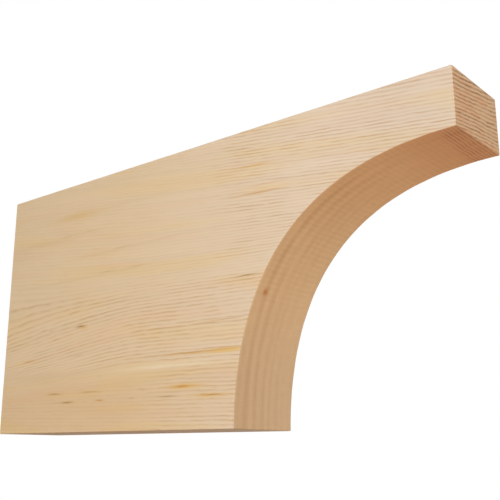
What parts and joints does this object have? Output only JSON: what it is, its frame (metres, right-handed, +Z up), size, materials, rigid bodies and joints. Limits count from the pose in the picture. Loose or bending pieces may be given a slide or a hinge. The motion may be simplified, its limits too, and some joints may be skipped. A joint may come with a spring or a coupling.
{
  "type": "rafter tail",
  "caption": "Rectangular length of planed fir timber with a deep concave cove cut up under its free end, for the eaves of a roof or pergola.",
  "frame": {"origin": "bottom centre of the bounding box: midway along the length, midway through the thickness, at the underside", "axes": "+X from the wall end to the nose, +Y through the thickness, +Z up"},
  "size_m": [0.6096, 0.0888, 0.2921],
  "materials": {
    "planed_fir": "planed and lightly sanded, bare"
  },
  "bodies": {
    "root": {"rafter_tail": "planed_fir"}
  },
  "joints": []
}
